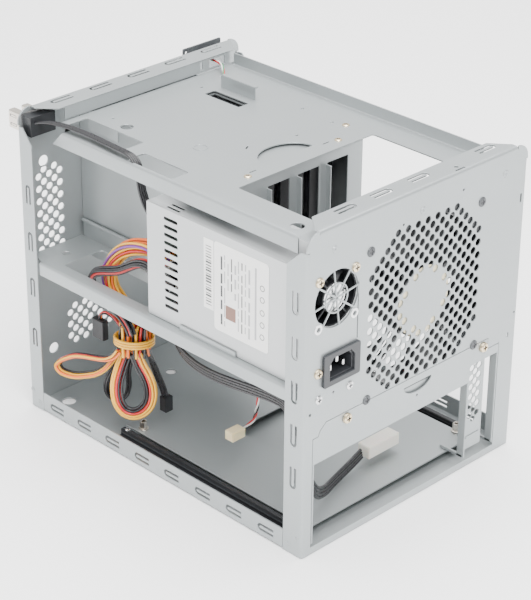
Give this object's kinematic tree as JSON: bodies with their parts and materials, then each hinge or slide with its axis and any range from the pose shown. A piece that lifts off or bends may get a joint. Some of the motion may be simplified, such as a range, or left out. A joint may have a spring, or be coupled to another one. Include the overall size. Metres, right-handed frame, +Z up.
{
  "type": "desktop computer tower",
  "caption": "Small desktop computer tower with its covers off: folded steel chassis, drive cage, power supply, rear fan, sliding motherboard tray and wiring.",
  "frame": {"origin": "middle of the bounding box at the underside of the base pan", "axes": "+Z up, +Y towards the rear panel, +X towards the open side with the power supply"},
  "size_m": [0.206, 0.2886, 0.228],
  "materials": {
    "galvanised_steel": "satin, zinc-plated",
    "black_plastic": "satin moulded",
    "grey_plastic": "matt moulded",
    "circuit_board": "satin lacquer",
    "label_paper": "printed label",
    "brass": "plated",
    "nickel": "nickel plated",
    "nylon_cream": "moulded nylon",
    "cable_black": "satin",
    "cable_wires": "satin"
  },
  "bodies": {
    "chassis": {"base_pan": "galvanised_steel", "rear_panel": "galvanised_steel", "front_panel": "galvanised_steel", "top_shelf": "galvanised_steel", "mid_shelf": "galvanised_steel", "cage_side_open": "galvanised_steel", "cage_side_far": "galvanised_steel", "cage_rear_wall": "galvanised_steel", "cage_floor": "galvanised_steel", "cage_stiffener": "galvanised_steel", "guide_rail_open": "black_plastic", "guide_rail_far": "black_plastic", "psu_case": "galvanised_steel", "psu_cover": "galvanised_steel", "psu_circuit_board": "circuit_board", "psu_label": "label_paper", "psu_fan_frame": "black_plastic", "mains_inlet": "black_plastic", "rear_fan_frame": "black_plastic", "usb_shell_1": "nickel", "usb_shell_2": "nickel", "usb_carrier": "black_plastic", "switch_board": "grey_plastic", "usb_cord": "cable_black", "main_bundle": "cable_wires", "big_loop": "cable_wires", "side_loop": "cable_wires", "black_cord": "cable_black", "fan_lead": "cable_black", "usb_plug": "black_plastic", "power_plug": "nylon_cream", "fan_plug": "nylon_cream", "cage_lid": "galvanised_steel", "black_bundle": "cable_black", "small_loop": "cable_black", "black_strand": "cable_black", "switch_lead": "cable_wires", "bundle_wrap": "cable_wires", "strand_plug": "black_plastic", "drive_plug": "black_plastic"},
    "rear_rotor": {"rear_fan_rotor": "black_plastic"},
    "psu_rotor": {"psu_fan_rotor": "black_plastic"},
    "tray": {"io_beam": "galvanised_steel", "motherboard_tray": "galvanised_steel", "slot_cover": "galvanised_steel", "standoff_1": "brass", "standoff_2": "brass", "standoff_3": "brass", "standoff_4": "brass", "beam_screw_1": "brass", "beam_screw_2": "brass"},
    "drive_1": {"drive_tray_1": "black_plastic"},
    "lever_1": {"tray_lever_1": "grey_plastic"},
    "drive_2": {"drive_tray_2": "black_plastic"},
    "lever_2": {"tray_lever_2": "grey_plastic"},
    "drive_3": {"drive_tray_3": "black_plastic"},
    "lever_3": {"tray_lever_3": "grey_plastic"},
    "power_key": {"power_button": "black_plastic"},
    "reset_key": {"reset_button": "black_plastic"}
  },
  "joints": [
    {"name": "rear_fan_spin", "type": "hinge", "parent": "chassis", "child": "rear_rotor", "pos_m": [-0.0058, 0.12575, 0.1467], "axis": [0, 1, 0], "continuous": true},
    {"name": "psu_fan_spin", "type": "hinge", "parent": "chassis", "child": "psu_rotor", "pos_m": [0.0762, 0.12775, 0.1781], "axis": [0, 1, 0], "continuous": true},
    {"name": "tray_slide", "type": "slide", "parent": "chassis", "child": "tray", "axis": [0, 1, 0], "range_m": [0, 0.15]},
    {"name": "drive_slide_1", "type": "slide", "parent": "chassis", "child": "drive_1", "axis": [0, -1, 0], "range_m": [0, 0.12]},
    {"name": "lever_swing_1", "type": "hinge", "parent": "drive_1", "child": "lever_1", "pos_m": [-0.0234, -0.13345, 0.2034], "axis": [-1, 0, 0], "range_deg": [0, 75]},
    {"name": "drive_slide_2", "type": "slide", "parent": "chassis", "child": "drive_2", "axis": [0, -1, 0], "range_m": [0, 0.12]},
    {"name": "lever_swing_2", "type": "hinge", "parent": "drive_2", "child": "lever_2", "pos_m": [0.004, -0.13345, 0.2034], "axis": [-1, 0, 0], "range_deg": [0, 75]},
    {"name": "drive_slide_3", "type": "slide", "parent": "chassis", "child": "drive_3", "axis": [0, -1, 0], "range_m": [0, 0.12]},
    {"name": "lever_swing_3", "type": "hinge", "parent": "drive_3", "child": "lever_3", "pos_m": [0.0314, -0.13345, 0.2034], "axis": [-1, 0, 0], "range_deg": [0, 75]},
    {"name": "power_press", "type": "slide", "parent": "chassis", "child": "power_key", "axis": [0, 1, 0], "range_m": [0, 0.0005], "stiffness_N_per_m": 400},
    {"name": "reset_press", "type": "slide", "parent": "chassis", "child": "reset_key", "axis": [0, 1, 0], "range_m": [0, 0.0005], "stiffness_N_per_m": 400}
  ]
}
